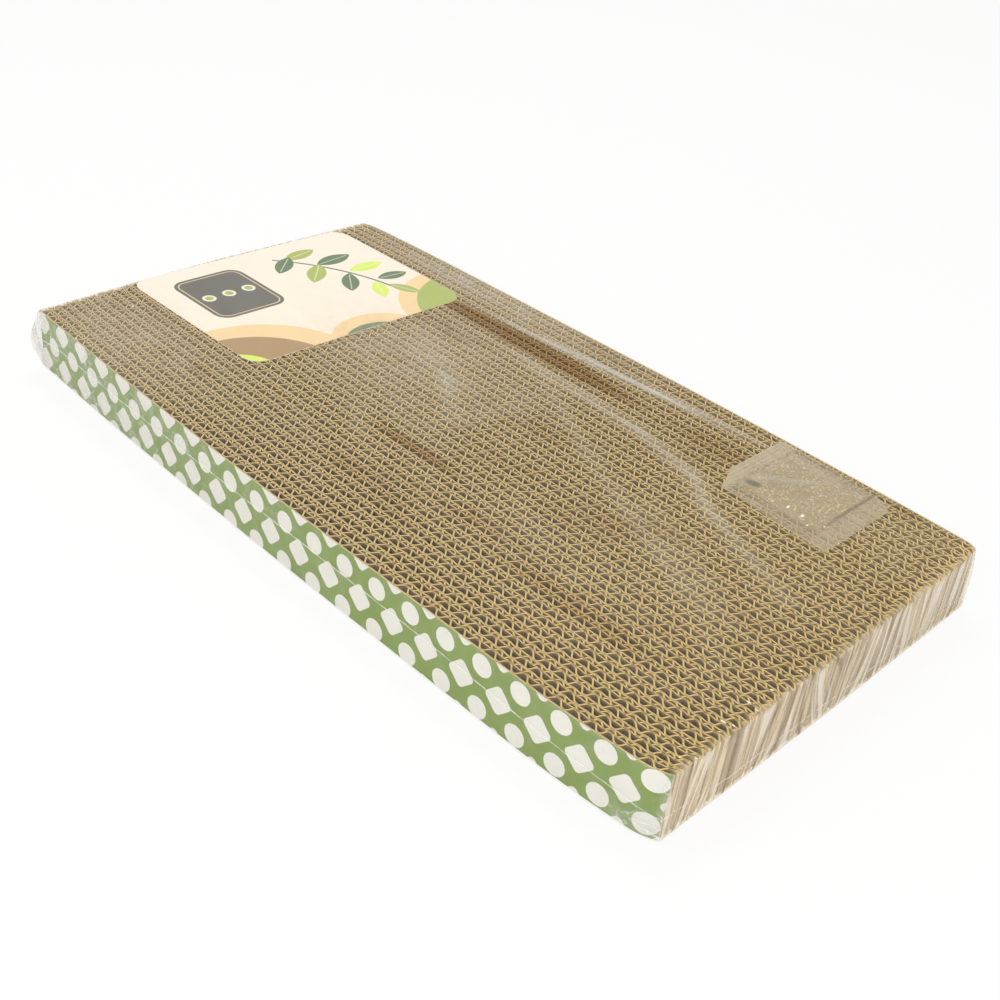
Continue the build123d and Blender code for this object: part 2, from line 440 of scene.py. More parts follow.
def kraft_finish():
    look = bpy.context.scene.pad_board
    f = Finish("kraft_board")
    vector, x, y, z = f.place()
    at_end = f.attribute("end")
    leaning = f.leaning(vector, x, y, z)
    fibre = f.noise(vector, (700, 700, 90), 3.0, 0.6)
    tight = f.noise(vector, (13, 42, 10), 3.0, 0.55)
    streak = f.noise(leaning, (300, 420, 9))
    shade = f.noise(leaning, (90, 160, 5))
    shadow = f.noise(leaning, (40, 130, 6))
    # The flutes' walls, darker deeper down as painted shade, then the strips' ends, with painted sheen and
    # shadow streaks, then the sawn edges
    # Painted shade: the walls go from the lip colour near the top and underside to the dark colour deep
    # inside
    depth = (BLOCK_TOP - z).least(z - BLOCK_BASE) / MM
    wall = f.mix(depth.step(0.1, 2.4), look.lip_color, look.deep_shade_color)
    # The ends: the pale streaks are painted sheen, the dark streaks painted shadow
    pale = f.mix(streak.step(0.52, 0.66) * 0.4, look.end_color, look.lip_color)
    pale = f.mix((1 - shade.step(0.36, 0.50)) * 0.7, pale, look.pale_sheen_color)
    pale = f.mix(shadow.step(0.56, 0.66) * 0.6, pale, look.shadow_color)
    edge = f.mix(x.step(0.0, 0.2) * 0.6, look.cut_color, look.right_color)
    tone = f.mix(abs(f.facing()[2]).step(0.6, 0.9), f.mix(at_end, wall, pale), edge)
    tone = f.mix(fibre.step(0.35, 0.75) * 0.22, tone, darker(look.cut_color, 0.65))
    snug = tight.step(0.56, 0.72) * 0.3
    for spot, reach, share in TIGHT_SPOTS:
        near = 1 - spread(x, y, spot, reach).step(0.1, 1.5)
        snug = snug.most(near * (tight * 0.8 + 0.6) * share)
    tone = f.mix(snug * (1 - at_end), tone, look.tight_color, "MULTIPLY")
    relief = f.relief(fibre, 0.25, 0.0002)
    return f.surface(f.principled(base_color=tone, roughness=fibre * 0.15 + 0.78, normal=relief))


# How the flutes vary. Waves per metre of their slow drift, their quick drift and their lean
SLOW_WAVES, QUICK_WAVES, LEAN_WAVES = 25, 85, 14
# Shares of each strip's shift and of the quick drift, and the lean to the front right and at random
SHIFT_SHARE, QUICK_SHARE, FRONT_LEAN, RANDOM_LEAN = 0.9, 0.8, 0.14, 0.10
# Runs along a liner, a large and a small medium, and down and along a printed sheet
LINER_RUNS, LARGE_RUNS, SMALL_RUNS = 400, 520, 620
SHEET_RUNS, SHEET_ROWS = 180, 6
# How much of the push on a liner comes from the large and from the small flutes beside it
LARGE_PUSH, SMALL_PUSH = 0.55, 0.45
# How much of the fray the outer and the middle liners show
OUTER_FRAY, MIDDLE_FRAY = 0.15, 0.7
# How far in the paler paper of the ends reaches, painted paler partly for the light on them, and the turn
# between the staggers of neighbours
END_REACH = 0.004
STAGGER_TURN = 2 * math.pi * 0.29


def flute_swing(board, number, large, x):
    """Where the medium of a strip's large or small row lies between its liners, from -1 to 1."""
    pitch = board.large_pitch if large else board.small_pitch
    phase = SHIFT_SHARE * noise.noise((number * 0.61 + 0.3, 7.7 if large else 2.2, 0.5))
    slow = noise.noise((x * SLOW_WAVES, number * 5.9, pitch * 1000))
    quick = noise.noise((x * QUICK_WAVES, number * 5.9, pitch * 3000))
    at = ((x + board.drift * (slow + QUICK_SHARE * quick)) / pitch - phase) % 1
    # The flutes stand straighter in the middle, and lean more towards the front right
    lean = board.lean - FRONT_LEAN * rise(x, 0.04, 0.2) * rise(20 - number, 0, 14)
    lean += RANDOM_LEAN * noise.noise((x * LEAN_WAVES, number * 3.7, pitch * 2000))
    swing = -math.cos(math.pi * at / lean) if at < lean else math.cos(math.pi * (at - lean) / (1 - lean))
    return swing * (1.5 - 0.5 * swing * swing)


class PAD_OT_board_strips(Operator):
    """Strips of double-wall board, on edge, with their flutes open at the top"""

    bl_idname = "pad.board_strips"
    bl_label = "Board strips"

    def wall(self, shape, end, ends, segments, line, thickness):
        """A paper wall that runs along the strip and follows a line of the plan."""
        grid = bmesh.ops.create_grid(shape, x_segments=segments, y_segments=1, size=0.5)
        for vert in grid["verts"]:
            share, up = vert.co.x + 0.5, vert.co.y + 0.5
            x = ends[0] + share * (ends[1] - ends[0])
            vert[end] = 1 - rise(min(share, 1 - share) * PAD_LENGTH, 0.0, END_REACH)
            vert.co = (*squeeze(x, line(x) - thickness / 2, up=up), level(up))
        faces = list({face for vert in grid["verts"] for face in vert.link_faces})
        shape.normal_update()
        bmesh.ops.solidify(shape, geom=faces, thickness=thickness)

    def strip(self, board, number, front, ends):
        """The five walls of one strip: three liners, pushed out of line, and two media between them."""
        caliper = 3 * board.liner + board.large_height + board.small_height

        def push(large_strip, small_strip, x):
            """How far a liner is pushed out of line by the flutes on its two sides."""
            large = LARGE_PUSH * flute_swing(board, large_strip, True, x)
            return board.washboard * (large + SMALL_PUSH * flute_swing(board, small_strip, False, x))

        def joint(at, x):
            """How far the joint in front of a strip is out of line. The outer faces stay flat."""
            return 0.0 if at in (0, len(STRIPS)) else push(at, at - 1, x)

        def front_liner(x):
            return front + board.liner / 2 + joint(number, x)

        def middle_liner(x):
            return front + 1.5 * board.liner + board.large_height + push(number, number, x)

        def rear_liner(x):
            return front + caliper - board.liner / 2 + joint(number + 1, x)

        def medium(large):
            before, after = (front_liner, middle_liner) if large else (middle_liner, rear_liner)
            clear = (board.liner + board.medium) / 2

            def line(x):
                low, high = before(x) + clear, after(x) - clear
                return low + (high - low) * (1 + flute_swing(board, number, large, x)) / 2

            return line

        shape = bmesh.new()
        end = shape.verts.layers.float.new("end")
        for segments, line, thickness in (
            (LINER_RUNS, front_liner, board.liner + OUTER_FRAY * board.fray),
            (LINER_RUNS, middle_liner, board.liner + MIDDLE_FRAY * board.fray),
            (LINER_RUNS, rear_liner, board.liner + OUTER_FRAY * board.fray),
            (LARGE_RUNS, medium(True), board.medium + board.fray),
            (SMALL_RUNS, medium(False), board.medium + board.fray),
        ):
            self.wall(shape, end, ends, segments, line, thickness)
        return shape

    def execute(self, context):
        board = context.scene.pad_board
        material = kraft_finish()
        pitch = 3 * board.liner + board.large_height + board.small_height + board.glue_gap
        start = -(len(STRIPS) * pitch - board.glue_gap) / 2
        for number, node in enumerate(STRIPS):
            turn = STAGGER_TURN * number
            ends = (
                -HALF_LENGTH - board.reach + board.stagger * math.sin(turn),
                HALF_LENGTH + board.reach + board.stagger * math.cos(turn),
            )
            shape = self.strip(board, number, start + number * pitch, ends)
            make_piece(f"board_{node}", shape, material, [node], 50)
        return {"FINISHED"}


# The print is stuck on at a slight slant, and sags to the left. In millimetres: a dot of its top
# row and that row's height, then its slant and its sag, and the round of the diamonds' corners
PRINT_START, PRINT_LEVEL = 7.5, 25.2
PRINT_SLANT, PRINT_SAG = 0.0256, 2.8e-5
DIAMOND_ROUND = 2.4


def print_finish():
    look = bpy.context.scene.pad_print
    f = Finish("printed_paper")
    vector, x, _, z = f.place()

    def centred(count, pitch):
        """How far a point lies from the nearest of some evenly spaced places."""
        return (count - count.round()) * pitch

    along = x / MM
    period, row = look.period / MM, look.row / MM
    count = (along - PRINT_START) / period
    rows = (z / MM - (along * PRINT_SLANT - along * along * PRINT_SAG + PRINT_LEVEL)) / row * 0.5
    dot_x, dot_z = centred(count, period), centred(rows, 2 * row)
    dots = (dot_x * dot_x + dot_z * dot_z).root()
    # The diamonds lie half a period and half a row on
    turn = math.sqrt(0.5)
    flat = (look.diamond / MM + DIAMOND_ROUND * (math.sqrt(2) - 1)) / math.sqrt(2) - DIAMOND_ROUND
    diamond_x, diamond_z = centred(count - 0.5, period), centred(rows - 0.5, 2 * row)
    over_a = (abs(diamond_x + diamond_z) * turn - flat).most(0)
    over_b = (abs(diamond_x - diamond_z) * turn - flat).most(0)
    diamonds = (over_a * over_a + over_b * over_b).root() - DIAMOND_ROUND
    ragged = f.noise(vector, 900.0) * 0.3 - 0.15
    white = 1 - ((dots - look.dot / MM).least(diamonds) + ragged).step(-0.15, 0.15)
    mottle = f.noise(vector, 60.0, 3.0)
    green = f.mix(mottle.step(0.3, 0.75) * 0.35, look.green, darker(look.green, 0.82))
    pale = f.mix(mottle.step(0.35, 0.8) * 0.3, look.white, darker(look.white, 0.88))
    tone = f.mix(white, green, pale)
    tone = f.mix(abs(f.facing()[2]).step(0.6, 0.9), tone, look.edge_color)
    relief = f.relief(f.noise(vector, 1500.0), 0.15, 0.0001)
    return f.surface(f.principled(base_color=tone, roughness=mottle * 0.1 + 0.5, normal=relief))


class PAD_OT_print_sheets(Operator):
    """Printed paper on the two long sides, and the glue behind it and between the strips"""

    bl_idname = "pad.print_sheets"
    bl_label = "Printed sides"

    def execute(self, context):
        look = context.scene.pad_print
        paper = print_finish()
        for name, side in (("front", -1), ("rear", 1)):
            shape = bmesh.new()
            grid = bmesh.ops.create_grid(shape, x_segments=SHEET_RUNS, y_segments=SHEET_ROWS, size=0.5)
            for vert in grid["verts"]:
                x, up = vert.co.x * PAD_LENGTH, vert.co.y + 0.5
                vert.co = (*squeeze(x, side * HALF_WIDTH, up=up), level(up))
            shape.normal_update()
            bmesh.ops.solidify(shape, geom=shape.faces[:], thickness=-side * look.thickness)
            make_piece(f"printed_{name}", shape, paper, [f"{name}_print_sheet"], 40)
        f = Finish("dried_glue")
        cloud = f.noise(f.place()[0], 200.0)
        tone = f.mix(cloud, look.glue_color, look.thick_color)
        dress_node("glue_lines", f.surface(f.principled(base_color=tone, roughness=cloud * 0.2 + 0.4)))
        return {"FINISHED"}


def label_finish():
    """A design of hills, a sprig and a panel, in millimetres."""
    look = bpy.context.scene.pad_label
    f = Finish("label_card")
    vector, x, y, _ = f.place()
    x, y = x / MM, y / MM
    soft = 0.25

    def within(distance):
        """1 where a distance is below zero, with a soft edge."""
        return 1 - distance.step(-soft, soft)

    def disc(cx, cy, radius):
        dx, dy = x - cx, y - cy
        return within((dx * dx + dy * dy).root() - radius)

    def turned(cx, cy, degrees):
        c, s = math.cos(math.radians(degrees)), math.sin(math.radians(degrees))
        dx, dy = x - cx, y - cy
        return dx * c + dy * s, dy * c - dx * s

    def leaf(cx, cy, half_length, half_width, degrees):
        """A pointed leaf, and the pale rib along its middle."""
        half_rib, rib_share = 0.35, 0.8
        u, v = turned(cx, cy, degrees)
        bow = (half_length * half_length + half_width * half_width) / (2 * half_width)
        reach = (u * u + (abs(v) + (bow - half_width)) ** 2.0).root()
        return within(reach - bow), within(abs(v) - half_rib) * within(abs(u) - half_length * rib_share)

    tone = look.cream
    # Rolling hills along the right edge: centre, radius, colour
    for cx, cy, radius, shade in (
        (-96, -58, 60, look.peach), (-92, -66, 52, look.brown), (-98, 104, 52, look.peach),
        (-90, 112, 52, look.olive), (-92, 24, 34, look.peach), (-88, 22, 27, look.green),
        (-104, -72, 24, look.lime),
    ):
        tone = f.mix(disc(cx, cy, radius), tone, shade)
    # A sprig of leaves on a bent stem: centre, half length, half width, turn, colour
    stem_bend, stem_drop, half_stem, stem_reach = 0.004, 2, 0.8, 44
    stem_u, stem_v = turned(-180, 58, 28)
    bent = stem_v + stem_u * stem_u * stem_bend - stem_drop
    tone = f.mix(within(abs(bent) - half_stem) * within(abs(stem_u) - stem_reach), tone, look.green)
    for *outline, shade in (
        (-214, 52, 13, 5.5, 100, look.olive), (-206, 34, 13, 5.5, -50, look.green),
        (-197, 66, 14, 6, 95, look.green), (-186, 44, 14, 6, -45, look.olive),
        (-178, 77, 13, 5.5, 90, look.lime), (-165, 54, 13, 5.5, -35, look.green),
        (-159, 83, 11, 5, 85, look.green), (-147, 63, 11, 5, -25, look.lime),
        (-140, 77, 11, 4.5, 25, look.olive),
    ):
        blade, rib = leaf(*outline)
        tone = f.mix(blade, tone, shade)
        tone = f.mix(rib * 0.6, tone, look.cream)
    # A dark rounded panel with a thin border and a row of beads
    panel_x, panel_y, half_x, half_y, radius = -191, -18, 28, 24, 9
    border_out, border_in = 2.2, 2.9
    dx = (abs(x - panel_x) - (half_x - radius)).most(0)
    dy = (abs(y - panel_y) - (half_y - radius)).most(0)
    inside = radius - (dx * dx + dy * dy).root()
    tone = f.mix(inside.step(-soft, soft), tone, look.grey)
    tone = f.mix((inside - border_out).step(-soft, soft) * within(inside - border_in), tone, look.peach)
    for bead_y in (-32, -18, -4):
        for radius, shade in ((4.2, look.cream), (2.6, look.olive)):
            tone = f.mix(disc(panel_x, bead_y, radius), tone, shade)
    grain = f.noise(vector, 1200.0)
    tone = f.mix(grain.step(0.4, 0.8) * 0.08, tone, look.brown)
    tone = f.mix(1 - abs(f.facing()[2]).step(0.5, 0.8), tone, look.cream)
    relief = f.relief(grain, 0.1, 0.0001)
    return f.surface(f.principled(base_color=tone, roughness=grain * 0.1 + 0.35, normal=relief))


class PAD_OT_label_card(Operator):
    """Printed card on top of the pad, at its left end"""

    bl_idname = "pad.label_card"
    bl_label = "Label card"

    def execute(self, context):
        dress_node("label_card", label_finish())
        return {"FINISHED"}


# Plan of the sachet, in metres
SACHET_LEFT, SACHET_RIGHT, SACHET_REAR = 0.114, 0.188, 0.1235
SACHET_WIDTH, SACHET_SKEW = 0.065, 0.006
SACHET_SPAN = SACHET_RIGHT - SACHET_LEFT
SACHET_SLOPE = SACHET_SKEW / SACHET_SPAN
# Its seals at the left, right, front and rear, and its cut corners at the front and rear
SEALS = (0.0095, 0.012, 0.009, 0.005)
SACHET_CUTS = ((0.009, 0.018), (0.012, 0.006))
# Heights over the block's top: the base ply, the top ply, its ripple, and the filled pocket
BASE_LIFT, TOP_LIFT, RIPPLE, POCKET_HEIGHT = 0.0001, 0.0002, 0.00009, 0.0014
# The herb's bed: its lift, its gap under the pouch, and how far it stays inside the seals
BED_LIFT, BED_GAP, BED_MARGIN = 0.00022, 0.0002, 0.0008
# Loose flakes: size, stretch, tilt, thickness, sink into the bed, and least depth and height of pocket
FLAKE_SIZE, FLAKE_STRETCH, FLAKE_TILT = (0.00018, 0.00042), (0.55, 1.0), 0.4
FLAKE_THICKNESS, FLAKE_SINK = 0.00012, 0.0001
FLAKE_DEPTH, FLAKE_HEIGHT = 0.0015, 0.0008
# The dark clump: place and half widths
CLUMP = ((0.1308, 0.0738), (0.0062, 0.0036))
# Pitch of the pressed lines, and the pale streak's middle and direction
PRESSED_PITCH = 0.0026
STREAK_X, STREAK_Y = 0.1404, 0.0900
STREAK_COS, STREAK_SIN = 0.737, 0.676
# Glints on the pouch, in millimetres: place and half widths
SACHET_GLINTS = (
    (154.6, 70, 0.8, 1.6), (163.8, 69, 1, 1.4), (175.5, 71.2, 0.5, 0.8), (169.6, 65, 0.4, 1),
    (188.1, 85, 0.4, 0.8), (188, 65, 0.5, 0.8),
)


def everything(shape):
    return shape.verts[:] + shape.edges[:] + shape.faces[:]


def sachet_grid(shape, along, across, margin=0.0):
    """A flat grid over the sachet's plan, with its two corners cut off, and a ragged margin if any."""
    grid = bmesh.ops.create_grid(shape, x_segments=along, y_segments=across, size=0.5)
    for vert in grid["verts"]:
        x = SACHET_LEFT + (vert.co.x + 0.5) * SACHET_SPAN
        y = SACHET_REAR - (0.5 - vert.co.y) * SACHET_WIDTH - SACHET_SLOPE * (x - SACHET_LEFT)
        vert.co = (x, y, 0)
    (front_x, front_y), (rear_x, rear_y) = SACHET_CUTS
    low = SACHET_REAR - SACHET_WIDTH
    corners = (
        ((SACHET_LEFT, low + front_y), (SACHET_LEFT + front_x, low - SACHET_SLOPE * front_x)),
        ((SACHET_RIGHT - rear_x, SACHET_REAR - SACHET_SLOPE * (SACHET_SPAN - rear_x)),
         (SACHET_RIGHT, SACHET_REAR - SACHET_SKEW - rear_y)),
    )
    middle = Vector(((SACHET_LEFT + SACHET_RIGHT) / 2, low + SACHET_WIDTH / 2, 0))
    for start, end in corners:
        start, end = Vector((*start, 0)), Vector((*end, 0))
        out = (end - start).cross(Vector((0, 0, 1))).normalized()
        if out.dot(middle - start) > 0:
            out = -out
        bmesh.ops.bisect_plane(shape, geom=everything(shape), plane_co=start, plane_no=out, clear_outer=True)
    if margin:
        ragged = [v for v in shape.verts if pocket_depth(*v.co.xy) < margin * (1 + noise.noise(v.co * 320))]
        bmesh.ops.delete(shape, geom=ragged, context="VERTS")


def pocket_depth(x, y):
    """How far inside the sachet's seals a point of the plan lies."""
    left, right, front, rear = SEALS
    edge = SACHET_REAR - SACHET_SLOPE * (x - SACHET_LEFT)
    return min(
        x - SACHET_LEFT - left,
        SACHET_RIGHT - right - x,
        y - (edge - SACHET_WIDTH) - front,
        edge - rear - y,
    )


def pocket_height(x, y):
    """How high the filled pocket stands: flat on top, with rounded shoulders and shallow dents."""
    depth = pocket_depth(x, y)
    if depth <= 0:
        return 0.0
    dents = 0.85 + 0.25 * noise.noise((x * 90, y * 90, 3.1)) + 0.1 * noise.noise((x * 260, y * 260, 7.7))
    return POCKET_HEIGHT * rise(depth, -0.001, 0.010) * dents


def herb_finish():
    look = bpy.context.scene.pad_sachet
    f = Finish("dried_herb")
    vector, x, y, _ = f.place()
    bits = f.node("TexVoronoi", {"Vector": vector, "Scale": 1300.0}, "Color", feature="F1")
    red, green, blue = f.parts(bits)
    clump = f.noise(vector, 70.0, 3.0)
    tone = f.mix(red.step(0.35, 0.9) * 0.7, look.herb, look.dark_herb)
    tone = f.mix(green.step(0.86, 0.9), tone, look.pale_herb)
    tone = f.mix(clump.step(0.5, 0.7) * 0.35, tone, look.dark_herb)
    near = spread(x, y, *CLUMP).root() + clump * 0.7 + red * 0.3
    tone = f.mix(1 - near.step(0.9, 1.5), tone, look.clump_color)
    relief = f.relief(blue, 0.6, 0.0004)
    return f.surface(f.principled(base_color=tone, roughness=blue * 0.3 + 0.6, normal=relief))


def sachet_finish():
    look = bpy.context.scene.pad_sachet
    f = Finish("sachet_film")
    vector, x, y, _ = f.place()
    crinkle = f.noise(vector, (60, 140, 60), 4.0, 0.6)
    fine = f.noise(vector, (420, 260, 300))
    relief = f.relief(crinkle * 0.8 + fine * 0.3, 0.35, 0.0008)
    seal = f.attribute("seal")
    # Pressed lines along the left seal, and painted shade along a fold by the right one
    left_seal = 1 - x.step(SACHET_LEFT + 0.008, SACHET_LEFT + 0.013)
    pressed = ((x - SACHET_LEFT) * (2 * math.pi / PRESSED_PITCH)).sine().step(0.5, 0.95) * left_seal
    fold_x = SACHET_RIGHT - SEALS[1]
    fold_shade = (1 - abs(x - fold_x + 0.001).step(0.0002, 0.0018)) * y.step(0.068, 0.086)
    right_seal = x.step(fold_x, fold_x + 0.001)
    # A pale streak across the pocket, and a few glints
    off_x, off_y = x - STREAK_X, y - STREAK_Y
    along, across = off_x * STREAK_COS + off_y * STREAK_SIN, off_y * STREAK_COS - off_x * STREAK_SIN
    streak = (1 - abs(across).step(0.0004, 0.0036)) * (1 - abs(along).step(0.012, 0.024))
    glints = spots(x, y, SACHET_GLINTS)
    tint = f.mix(fold_shade * 0.85, look.seal_color, look.fold_shade_color)
    tint = f.mix(streak * 0.8, tint, look.streak_color)
    tint = f.mix(glints, tint, look.glint_color)
    milky = f.principled(base_color=tint, roughness=0.35, normal=relief)
    sealed = crinkle.step(0.35, 0.7) * 0.12 + left_seal * 0.24 + right_seal * 0.11 - 0.05
    veil = seal * sealed + pressed * 0.12 + fold_shade * 0.35 + streak * 0.17 + 0.16
    veil = veil.most(glints * 0.95)
    return f.surface(f.glazed(f.film(veil, milky, look.clear_color), 0.8, 0.12, relief))


class PAD_OT_sachet(Operator):
    """Flat pouch of clear film with sealed edges, on top of the pad"""

    bl_idname = "pad.sachet"
    bl_label = "Sachet pouch"

    def execute(self, context):
        shape = bmesh.new()
        seal = shape.verts.layers.float.new("seal")
        sachet_grid(shape, 64, 56)
        bottom = bmesh.ops.duplicate(shape, geom=everything(shape))["geom"]
        low = {item for item in bottom if isinstance(item, bmesh.types.BMVert)}
        rim = {vert for edge in shape.edges if edge.is_boundary for vert in edge.verts}
        for vert in shape.verts:
            x, y = vert.co.x, vert.co.y
            ripple = RIPPLE * (1 + noise.noise((x * 300, y * 120, 1.0)))
            lift = TOP_LIFT + pocket_height(x, y) + ripple
            vert.co.z = BLOCK_TOP + (BASE_LIFT if vert in low or vert in rim else lift)
            vert[seal] = 1 - rise(pocket_depth(x, y), -0.0025, 0.0035)
        faces = [item for item in bottom if isinstance(item, bmesh.types.BMFace)]
        bmesh.ops.reverse_faces(shape, faces=faces)
        bmesh.ops.remove_doubles(shape, verts=list(rim), dist=0.00001)
        nodes = ["sachet_base_ply", "sachet_top_ply"]
        piece = make_piece("sachet_pouch", shape, sachet_finish(), nodes, 60)
        return {"FINISHED"}


class PAD_OT_catnip(Operator):
    """Bed of dried herb in the sachet, with loose flakes on it"""

    bl_idname = "pad.catnip"
    bl_label = "Herb fill"

    def execute(self, context):
        shape = bmesh.new()
        sachet_grid(shape, 80, 70, BED_MARGIN)
        for vert in shape.verts:
            x, y = vert.co.x, vert.co.y
            height = max(0.0, pocket_height(x, y) - BED_GAP)
            vert.co.z = BLOCK_TOP + BED_LIFT + height * (0.9 + 0.1 * noise.noise((x * 700, y * 700, 0)))
        random.seed(11)
        made = 0
        while made < context.scene.pad_sachet.flakes:
            x = random.uniform(SACHET_LEFT, SACHET_RIGHT)
            y = random.uniform(SACHET_REAR - SACHET_WIDTH - SACHET_SKEW, SACHET_REAR)
            height = pocket_height(x, y)
            if pocket_depth(x, y) < FLAKE_DEPTH or height < FLAKE_HEIGHT:
                continue
            size = random.uniform(*FLAKE_SIZE)
            turn = Matrix.Rotation(random.uniform(0, math.pi), 4, "Z")
            tilt = Matrix.Rotation(random.uniform(-FLAKE_TILT, FLAKE_TILT), 4, "X")
            stretch = Matrix.Diagonal((size, size * random.uniform(*FLAKE_STRETCH), FLAKE_THICKNESS, 1))
            spot = Matrix.Translation((x, y, BLOCK_TOP + height - FLAKE_SINK))
            bmesh.ops.create_icosphere(shape, subdivisions=1, radius=1, matrix=spot @ turn @ tilt @ stretch)
            made += 1
        make_piece("catnip_flakes", shape, herb_finish(), ["catnip_fill"], 40)
        return {"FINISHED"}


# Creases in the film over the top, as lines of points of the plan, with height, width and whiteness. The
# whiteness is a painted reflection of the light along their ridges
CREASES = (
    (((-0.110, 0.094), (0.0, 0.103), (0.114, 0.112)), 0.0004, 0.0038, 0.58),
    (((-0.070, 0.075), (0.000, 0.070), (0.060, 0.066), (0.110, 0.053), (0.128, 0.037), (0.200, 0.005)),
     0.0003, 0.0052, 0.36),
    (((-0.104, 0.046), (-0.050, 0.026), (-0.014, -0.002)), 0.00008, 0.0060, 0.11),
    (((0.018, 0.050), (0.066, 0.022), (0.122, -0.006), (0.180, -0.030)), 0.0001, 0.0060, 0.12),
    (((0.005, 0.058), (0.001, 0.0), (-0.012, -0.030)), 0.00006, 0.0080, 0.08),
    (((-0.060, -0.020), (-0.020, -0.062)), 0.0001, 0.0060, 0.07),
)
# Glints on the film over the top, in millimetres: place and half widths
FILM_GLINTS = (
    (228.5, -81.2, 1.8, 0.6), (232.5, -79.7, 0.9, 0.6), (228.2, -63.5, 1.2, 0.8), (233, -64.8, 1.2, 0.6),
    (229.8, -49.9, 0.9, 0.6), (230.6, -30, 0.8, 0.6), (230.4, -6.3, 0.6, 0.6), (229.9, -110.3, 0.6, 0.5),
    (234.2, -105.8, 0.6, 0.5), (-205.7, -74.1, 1.2, 0.7), (-187.9, -120.6, 1, 0.6),
)
# Broad hazy patches over the top: centre, half widths, whiteness
PATCHES = (
    ((-0.12, 0.116), (0.12, 0.014), 0.27),
    ((-0.07, 0.025), (0.07, 0.050), 0.20),
    ((-0.18, -0.10), (0.08, 0.040), 0.19),
    ((0.05, -0.06), (0.12, 0.050), 0.015),
    ((0.17, -0.03), (0.08, 0.110), 0.05),
    ((0.21, 0.11), (0.04, 0.030), 0.05),
)
# Faint slantwise sweeps: middle, half widths, whiteness and direction
SWEEPS = ((0.02, 0.02), (0.20, 0.08), 0.08)
SWEEP_COS, SWEEP_SIN = 0.875, 0.485
# Lifts of the film off the block's top, over the sachet and at the rim, and its waves
LABEL_PLAN, LABEL_ROUND = (-0.2365, -0.1085, -0.061, 0.101), 0.002
FILM_LIFT, LABEL_LIFT, SEAL_LIFT, POCKET_LIFT = 0.0002, 0.00045, 0.0005, 0.00025
RIM_LIFT, WAVE_LIFT = 0.00015, 0.00012
# The lower layer's height and whiteness under the block, and the steps from a layer's rim to the weld
UNDER_LEVEL, UNDER_HAZE, RIM_STEPS = 0.00008, 0.08, 10
# Corners where the film stands off the block half way up: place, reach, share
EARS = (
    ((-HALF_LENGTH, -HALF_WIDTH), 0.016, 0.5),
    ((HALF_LENGTH, -HALF_WIDTH), 0.010, 0.3),
    ((HALF_LENGTH, HALF_WIDTH), 0.012, 0.2),
)
# How far the film crumples: broad and fine over the ends, over the sides, and inwards at most
END_CRUMPLE, FINE_CRUMPLE, SIDE_CRUMPLE, IN_CRUMPLE = 0.0006, 0.0003, 0.0005, 0.0003
# The weld: height, fall to the right and to the left, fall over the right end, and its wander there
WELD_LEVEL, WELD_FALL, WELD_TILT, WELD_DROP, WELD_WANDER = 0.0223, 0.145, 0.0065, 0.005, 0.0008
# The welded line: how far it stands off the film, half its height, and its thickness
WELD_OUT, HALF_WELD, WELD_THICKNESS = 0.0003, 0.00025, 0.0003


def weld_height(x, y):
    """Where the two layers of film are welded: level at the left, and falling towards the right end."""
    drop = WELD_FALL * max(0.0, x) ** 2 - WELD_TILT * min(0.0, x)
    end = rise(x, HALF_LENGTH - 0.004, HALF_LENGTH) * rise(y, -HALF_WIDTH, -HALF_WIDTH + 0.05)
    return WELD_LEVEL - drop - WELD_DROP * end + WELD_WANDER * end * noise.noise((y * 45, 0, 6.0))


def crease_share(x, y, points, width):
    """How much of a crease a point of the plan has. A crease fades towards its ends."""
    distance, share = off_line(x, y, points)
    return bump(distance, width) * math.sin(math.pi * clamp(share, 0.03, 0.97)) ** 0.5


def film_top(x, y):
    """Height of the film over the block's top."""
    left, right, front, rear = LABEL_PLAN
    insets = (right - x, x - left, y - front, rear - y)
    label = math.prod(rise(inset, 0, LABEL_ROUND) for inset in insets)
    depth = pocket_depth(x, y)
    sachet = SEAL_LIFT * rise(depth, -0.0125, -0.0085)
    if depth > 0:
        sachet += pocket_height(x, y) + POCKET_LIFT
    height = max(FILM_LIFT + LABEL_LIFT * label, sachet)
    for points, crest, width, _ in CREASES:
        height += crest * crease_share(x, y, points, width)
    return height + WAVE_LIFT * (1 + noise.noise((x * 35, y * 90, 2.0)))


def top_haze_and_sheen(x, y):
    """How white the film over the top is: milky from stretching, with painted reflections along the creases.
    """
    haze_and_sheen = 0.008
    ragged = 0.9 + 0.35 * noise.noise((x * 40, y * 90, 5.0))
    cloudy = 1 + 0.6 * noise.noise((x * 50, y * 120, 9.0))
    # Painted reflections of the light along the creases
    for points, _, width, white in CREASES:
        haze_and_sheen += white * ragged * crease_share(x, y, points, width * 0.8)
    for spot, reach, white in PATCHES:
        haze_and_sheen += white * cloudy * hill(x, y, spot, reach)
    along, across = x * SWEEP_COS - y * SWEEP_SIN, x * SWEEP_SIN + y * SWEEP_COS
    spot, reach, white = SWEEPS
    haze_and_sheen += white * rise(noise.noise((along * 9, across * 75, 1.5)), 0.05, 0.5) * hill(x, y, spot, reach)
    # The film is clear where it lies tight
    for spot, reach, share in TIGHT_SPOTS:
        haze_and_sheen *= 1 - min(1.0, share) * hill(x, y, spot, reach)
    edge = min(HALF_LENGTH - abs(x), HALF_WIDTH - abs(y))
    return haze_and_sheen + 0.05 * bump(max(0.0, edge), 0.002)


